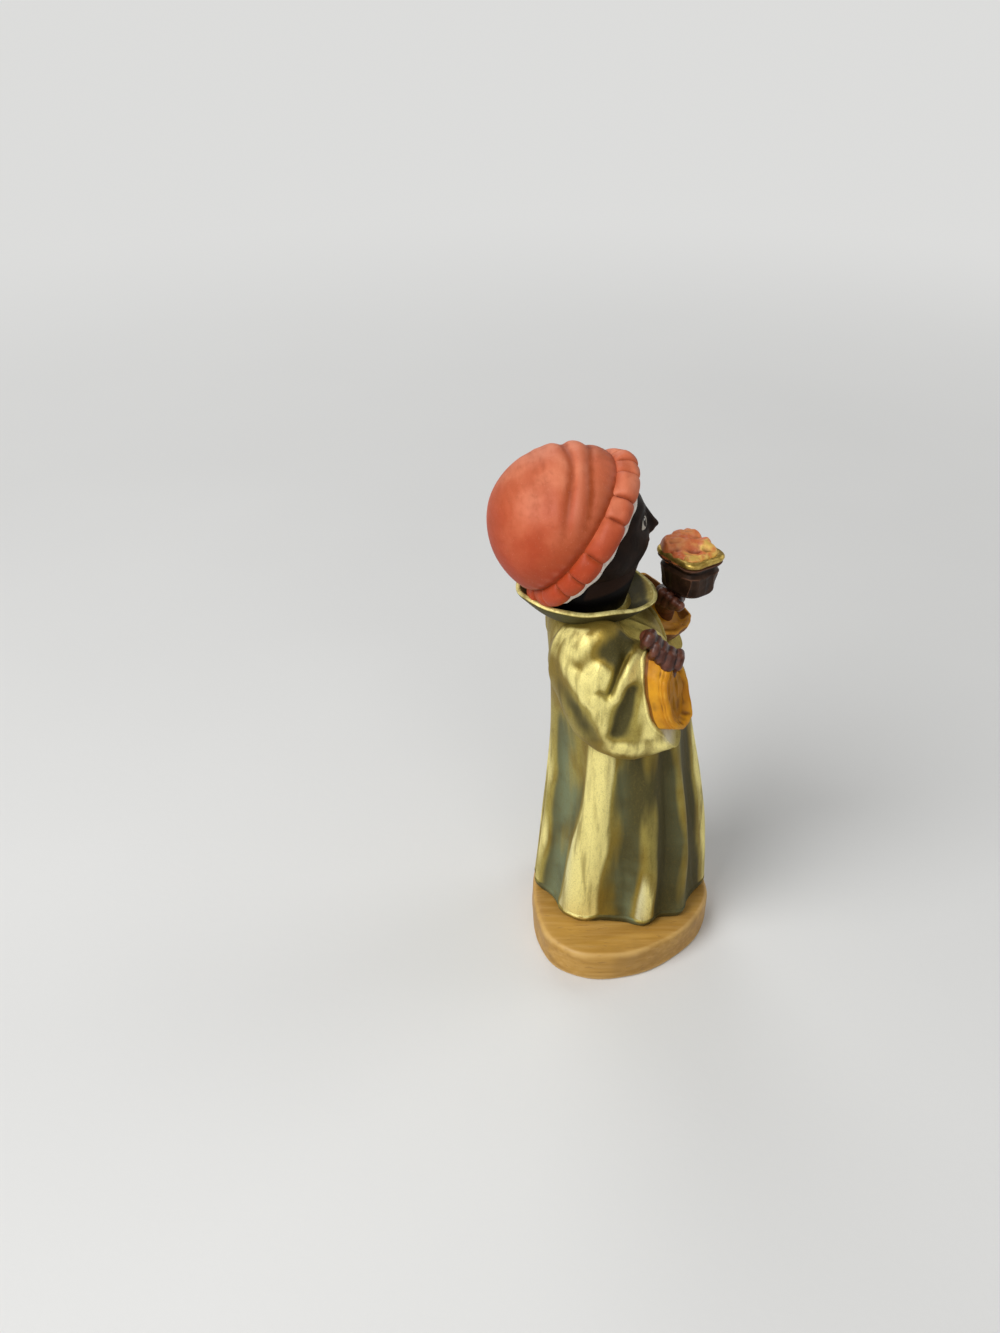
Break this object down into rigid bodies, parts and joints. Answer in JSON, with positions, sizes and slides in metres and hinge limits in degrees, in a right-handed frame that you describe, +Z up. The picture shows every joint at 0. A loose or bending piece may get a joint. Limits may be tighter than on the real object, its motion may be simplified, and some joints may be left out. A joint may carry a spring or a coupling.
{
  "type": "nativity figure",
  "caption": "Small carved and painted wooden gift bearer for a nativity scene: fluted gilded robe, wide sleeves, ruffled red cap, raised gift casket, on an oval plinth.",
  "frame": {"origin": "under the middle of the robe's hem, on the flat underside of the plinth", "axes": "+Z up, the figure faces -Y, its right hand is on the -X side"},
  "size_m": [0.0293, 0.0328, 0.0757],
  "materials": {
    "plinth_wood": "clear satin finish on pale close-grained wood",
    "dowel_wood": "bare turned wood",
    "robe_gilding": "gilded wood with a green-brown glaze in the folds",
    "cuff_ochre": "ochre paint with brown glaze",
    "skin_paint": "dark brown paint, glossy",
    "head_paint": "very dark brown paint, satin",
    "cap_red": "satin red paint",
    "lining_white": "white paint, slightly worn",
    "gift_brown": "dark brown paint",
    "gift_gold": "gilded",
    "gift_contents": "red-orange paint touched with gold"
  },
  "bodies": {
    "root": {"plinth": "plinth_wood", "plinth_dowel": "dowel_wood", "robe": "robe_gilding", "collar": "robe_gilding", "right_sleeve": "robe_gilding", "left_sleeve": "robe_gilding", "right_arm_dowel": "dowel_wood", "left_arm_dowel": "dowel_wood", "right_cuff": "cuff_ochre", "left_cuff": "cuff_ochre", "right_hand": "skin_paint", "left_hand": "skin_paint", "right_wrist_peg": "dowel_wood", "left_wrist_peg": "dowel_wood", "head": "head_paint", "neck_dowel": "dowel_wood", "cap_crown": "cap_red", "cap_dowel": "dowel_wood", "cap_ruffle": "cap_red", "cap_lining": "lining_white", "gift_box": "gift_brown", "gift_rim": "gift_gold", "gift_heap": "gift_contents", "gift_peg": "dowel_wood"}
  },
  "joints": []
}
